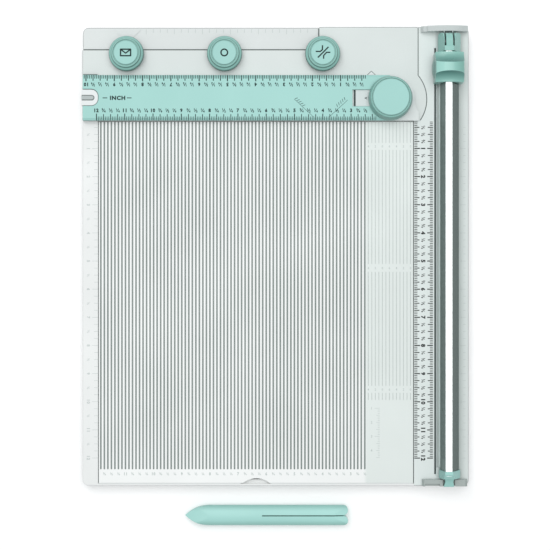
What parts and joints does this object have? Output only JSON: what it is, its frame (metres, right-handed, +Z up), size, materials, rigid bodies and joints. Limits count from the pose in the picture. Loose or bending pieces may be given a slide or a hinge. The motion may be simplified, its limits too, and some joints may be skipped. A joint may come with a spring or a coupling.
{
  "type": "rotary paper trimmer",
  "caption": "Flat board with a rotary cutter on a hinged rail, a swinging ruler arm, push-button paper punches, a grooved scoring plate and a separate scoring stylus.",
  "frame": {"origin": "on the surface the trimmer stands on, under the middle of the board, at the sole of the middle foot", "axes": "+X right, towards the cutter rail; +Y to the rear, towards the ruler arm and punches; +Z up"},
  "size_m": [0.3486, 0.451, 0.041],
  "materials": {
    "board_plastic": "fine satin moulded plastic, pale cool grey",
    "white_plastic": "satin white moulded plastic",
    "mint_plastic": "satin mint green moulded plastic",
    "smoke_plastic": "cool grey moulded plastic with a low gloss",
    "clear_plastic": "frosted grey strip with polished edges",
    "dark_plastic": "dark green-black matt plastic and printing ink",
    "rail_metal": "smooth anodised extrusion",
    "steel": "zinc-plated or turned steel",
    "blade_steel": "ground blade steel",
    "foot_rubber": "soft matt rubber"
  },
  "bodies": {
    "board": {"base_shell": "board_plastic", "bottom_cover": "board_plastic", "rubber_feet": "foot_rubber", "base_screws": "steel", "head_cover": "board_plastic", "rear_shelf": "board_plastic", "trimmer_bed": "board_plastic", "cutting_strip": "dark_plastic", "rear_bracket": "smoke_plastic", "front_bracket": "smoke_plastic", "hinge_pin": "steel", "pivot_post": "white_plastic", "pivot_washer": "steel", "punch_die_envelope": "steel", "return_spring_envelope": "foot_rubber", "punch_die_hole": "steel", "return_spring_hole": "foot_rubber", "punch_die_bow": "steel", "return_spring_bow": "foot_rubber"},
    "score_plate": {"score_plate": "board_plastic"},
    "rail": {"guide_rail": "rail_metal", "hold_down_bar": "clear_plastic", "rear_hinge_block": "mint_plastic", "front_end_block": "mint_plastic"},
    "carriage": {"carriage_shell": "mint_plastic", "carriage_liner": "white_plastic", "blade_axle": "steel"},
    "blade": {"rotary_blade": "blade_steel"},
    "arm": {"arm_carrier": "white_plastic", "arm_ruler": "mint_plastic", "arm_screws": "steel"},
    "lock": {"lock_slider": "white_plastic"},
    "knob": {"pivot_knob": "mint_plastic", "knob_disc": "mint_plastic", "knob_screw": "steel"},
    "button_envelope": {"button_cap_envelope": "mint_plastic", "button_disc_envelope": "mint_plastic", "punch_envelope": "steel"},
    "button_hole": {"button_cap_hole": "mint_plastic", "button_disc_hole": "mint_plastic", "punch_hole": "steel"},
    "button_bow": {"button_cap_bow": "mint_plastic", "button_disc_bow": "mint_plastic", "punch_bow": "steel"},
    "stylus": {"scoring_stylus": "mint_plastic"}
  },
  "joints": [
    {"name": "rail_lift", "type": "hinge", "parent": "board", "child": "rail", "pos_m": [0.156, 0.192, 0.0236], "axis": [-1, 0, 0], "range_deg": [0, 45]},
    {"name": "carriage_slide", "type": "slide", "parent": "rail", "child": "carriage", "axis": [0, -1, 0], "range_m": [0, 0.343]},
    {"name": "blade_spin", "type": "hinge", "parent": "carriage", "child": "blade", "pos_m": [0.144, 0.1682, 0.0226], "axis": [1, 0, 0], "range_deg": [0, 1970]},
    {"name": "arm_swing", "type": "hinge", "parent": "board", "child": "arm", "pos_m": [0.103, 0.1418, 0.0149], "axis": [0, 0, 1], "range_deg": [0, 90]},
    {"name": "lock_slide", "type": "slide", "parent": "arm", "child": "lock", "axis": [-1, 0, 0], "range_m": [0, 0.0013]},
    {"name": "knob_turn", "type": "hinge", "parent": "board", "child": "knob", "pos_m": [0.103, 0.1418, 0.0254], "axis": [0, 0, 1], "range_deg": [0, 90]},
    {"name": "plate_lift", "type": "slide", "parent": "board", "child": "score_plate", "axis": [0, 0, -1], "range_m": [-0.04, 0]},
    {"name": "press_envelope", "type": "slide", "parent": "board", "child": "button_envelope", "axis": [0, 0, -1], "range_m": [0, 0.0036], "stiffness_N_per_m": 800, "springref_m": -0.002, "deforming": ["return_spring_envelope"]},
    {"name": "press_hole", "type": "slide", "parent": "board", "child": "button_hole", "axis": [0, 0, -1], "range_m": [0, 0.0036], "stiffness_N_per_m": 800, "springref_m": -0.002, "deforming": ["return_spring_hole"]},
    {"name": "press_bow", "type": "slide", "parent": "board", "child": "button_bow", "axis": [0, 0, -1], "range_m": [0, 0.0036], "stiffness_N_per_m": 800, "springref_m": -0.002, "deforming": ["return_spring_bow"]},
    {"name": "stylus_pick_up", "type": "slide", "parent": "board", "child": "stylus", "axis": [0, 0, 1], "range_m": [0, 0.05]}
  ],
  "couplings": [
    {"joint": "blade_spin", "follows": "carriage_slide", "rad_per_m": 100}
  ]
}
